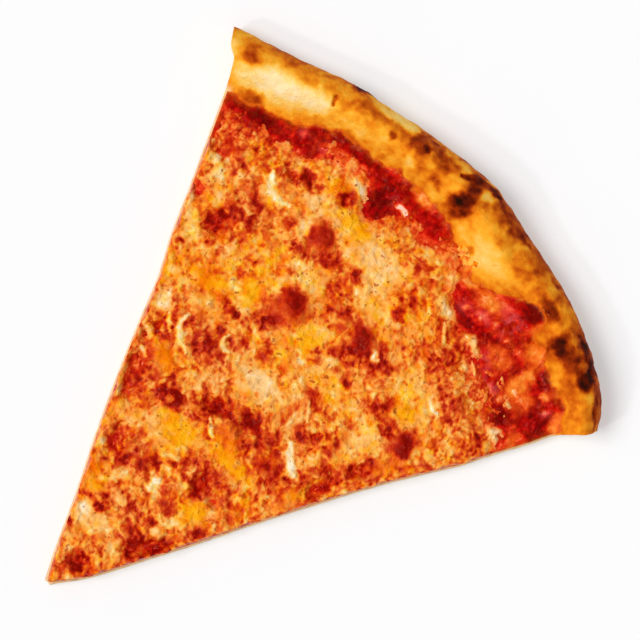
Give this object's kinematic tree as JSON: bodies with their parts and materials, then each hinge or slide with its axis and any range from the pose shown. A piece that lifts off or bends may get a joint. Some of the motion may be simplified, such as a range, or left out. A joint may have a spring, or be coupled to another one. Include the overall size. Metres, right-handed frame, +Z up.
{
  "type": "cheese pizza slice",
  "caption": "Wedge-shaped slice of thin-base cheese pizza with a raised browned rim, tomato sauce and melted cheese, lying flat.",
  "frame": {"origin": "middle of the underside's bounding box, on the surface that the slice lies on", "axes": "+Y from the tip to the rim, +X to the right seen from above with the rim away from the viewer, +Z up"},
  "size_m": [0.1606, 0.1768, 0.0174],
  "materials": {
    "baked_dough": "baked bread crust, golden with brown blisters and char",
    "tomato_sauce": "wet cooked tomato sauce",
    "melted_cheese": "melted and browned cheese with a sheen of oil"
  },
  "bodies": {
    "root": {"crust": "baked_dough", "tomato_sauce": "tomato_sauce", "melted_cheese": "melted_cheese"}
  },
  "joints": []
}
